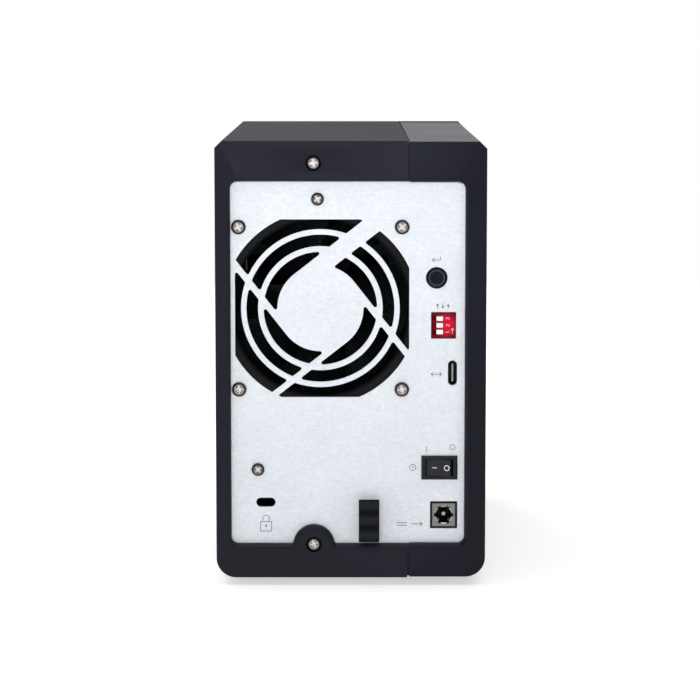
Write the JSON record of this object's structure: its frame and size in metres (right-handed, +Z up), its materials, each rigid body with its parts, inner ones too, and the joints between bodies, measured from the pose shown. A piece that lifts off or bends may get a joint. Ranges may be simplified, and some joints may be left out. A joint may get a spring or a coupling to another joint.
{
  "type": "nas enclosure",
  "caption": "Upright two-bay drive enclosure: plastic covers, galvanised rear panel with fan grille and connectors, two sliding trays with levers.",
  "frame": {"origin": "middle of the footprint, at the surface the feet stand on", "axes": "+Z up, +Y towards the connector panel at the rear, the trays face -Y, +X to the right seen from the front"},
  "size_m": [0.102, 0.219, 0.1685],
  "materials": {
    "cover_plastic": "fine matte moulded texture",
    "frame_plastic": "fine matte",
    "galvanised_steel": "galvanised, faint grain",
    "black_plastic": "satin",
    "bright_screw": "bright nickel",
    "foot_rubber": "matt",
    "red_plastic": "satin",
    "white_plastic": "satin",
    "circuit_board": "dark solder mask",
    "chip_resin": "matt",
    "heat_sink_aluminium": "anodised",
    "light_lens": "clear",
    "tray_plastic": "satin",
    "lever_plastic": "gloss",
    "connector_steel": "tinned",
    "coil_ferrite": "matt",
    "ribbon_white": "matt"
  },
  "bodies": {
    "chassis": {"large_cover": "cover_plastic", "small_cover": "cover_plastic", "rubber_feet": "foot_rubber", "front_frame": "frame_plastic", "light_pipes": "light_lens", "status_lights": "white_plastic", "status_board": "circuit_board", "status_ribbon": "ribbon_white", "ribbon_header": "white_plastic", "rear_panel": "galvanised_steel", "fan_screws": "bright_screw", "panel_screws": "bright_screw", "casing_screws": "bright_screw", "pressed_nuts": "connector_steel", "cable_hook": "black_plastic", "push_switch": "black_plastic", "mode_switch": "red_plastic", "data_port_shell": "connector_steel", "data_port_tongue": "black_plastic", "rocker_housing": "black_plastic", "power_jack_body": "black_plastic", "power_jack_face": "connector_steel", "power_jack_contacts": "connector_steel", "fan_frame": "black_plastic", "fan_stator": "chip_resin", "fan_lead": "black_plastic", "fan_plug": "white_plastic", "drive_cage": "galvanised_steel", "lower_guide": "black_plastic", "upper_guide": "black_plastic", "backplane_board": "circuit_board", "drive_socket_1": "black_plastic", "drive_socket_2": "black_plastic", "link_connector": "black_plastic", "board_bracket": "galvanised_steel", "main_board": "circuit_board", "board_screws": "bright_screw", "bridge_chip": "chip_resin", "heat_sink": "heat_sink_aluminium", "capacitors": "connector_steel", "power_coils": "coil_ferrite"},
    "fan_rotor": {"fan_rotor": "black_plastic"},
    "set_button": {"set_button": "black_plastic", "switch_plunger": "white_plastic"},
    "mode_slider_1": {"mode_slider_1": "white_plastic"},
    "mode_slider_2": {"mode_slider_2": "white_plastic"},
    "mode_slider_3": {"mode_slider_3": "white_plastic"},
    "power_rocker": {"power_rocker": "black_plastic"},
    "tray_1": {"tray_1_bezel": "tray_plastic", "tray_1_frame": "tray_plastic", "tray_1_drive_strips": "black_plastic", "tray_1_lever_pin": "bright_screw"},
    "tray_1_lever": {"tray_1_lever": "lever_plastic"},
    "tray_1_lock": {"tray_1_lock": "bright_screw"},
    "tray_2": {"tray_2_bezel": "tray_plastic", "tray_2_frame": "tray_plastic", "tray_2_drive_strips": "black_plastic", "tray_2_lever_pin": "bright_screw"},
    "tray_2_lever": {"tray_2_lever": "lever_plastic"},
    "tray_2_lock": {"tray_2_lock": "bright_screw"}
  },
  "joints": [
    {"name": "fan_spin", "type": "hinge", "parent": "chassis", "child": "fan_rotor", "pos_m": [0.01146, 0.09, 0.1053], "axis": [0, 1, 0], "continuous": true},
    {"name": "set_button_press", "type": "slide", "parent": "chassis", "child": "set_button", "axis": [0, -1, 0], "range_m": [0, 0.0008], "stiffness_N_per_m": 600},
    {"name": "power_rocker_tilt", "type": "hinge", "parent": "chassis", "child": "power_rocker", "pos_m": [-0.0336, 0.1012, 0.04465], "axis": [0, 0, 1], "range_deg": [0, 18]},
    {"name": "mode_slide_1", "type": "slide", "parent": "chassis", "child": "mode_slider_1", "axis": [1, 0, 0], "range_m": [0, 0.0015]},
    {"name": "mode_slide_2", "type": "slide", "parent": "chassis", "child": "mode_slider_2", "axis": [1, 0, 0], "range_m": [0, 0.0015]},
    {"name": "mode_slide_3", "type": "slide", "parent": "chassis", "child": "mode_slider_3", "axis": [1, 0, 0], "range_m": [0, 0.0015]},
    {"name": "tray_1_slide", "type": "slide", "parent": "chassis", "child": "tray_1", "axis": [0, -1, 0], "range_m": [0, 0.165]},
    {"name": "tray_1_lever_swing", "type": "hinge", "parent": "tray_1", "child": "tray_1_lever", "pos_m": [-0.00305, -0.1065, 0.145], "axis": [-1, 0, 0], "range_deg": [0, 75]},
    {"name": "tray_1_lock_turn", "type": "hinge", "parent": "tray_1", "child": "tray_1_lock", "pos_m": [-0.00305, -0.104, 0.0235], "axis": [0, 1, 0], "range_deg": [0, 90]},
    {"name": "tray_2_slide", "type": "slide", "parent": "chassis", "child": "tray_2", "axis": [0, -1, 0], "range_m": [0, 0.165]},
    {"name": "tray_2_lever_swing", "type": "hinge", "parent": "tray_2", "child": "tray_2_lever", "pos_m": [0.03045, -0.1065, 0.145], "axis": [-1, 0, 0], "range_deg": [0, 75]},
    {"name": "tray_2_lock_turn", "type": "hinge", "parent": "tray_2", "child": "tray_2_lock", "pos_m": [0.03045, -0.104, 0.0235], "axis": [0, 1, 0], "range_deg": [0, 90]}
  ]
}
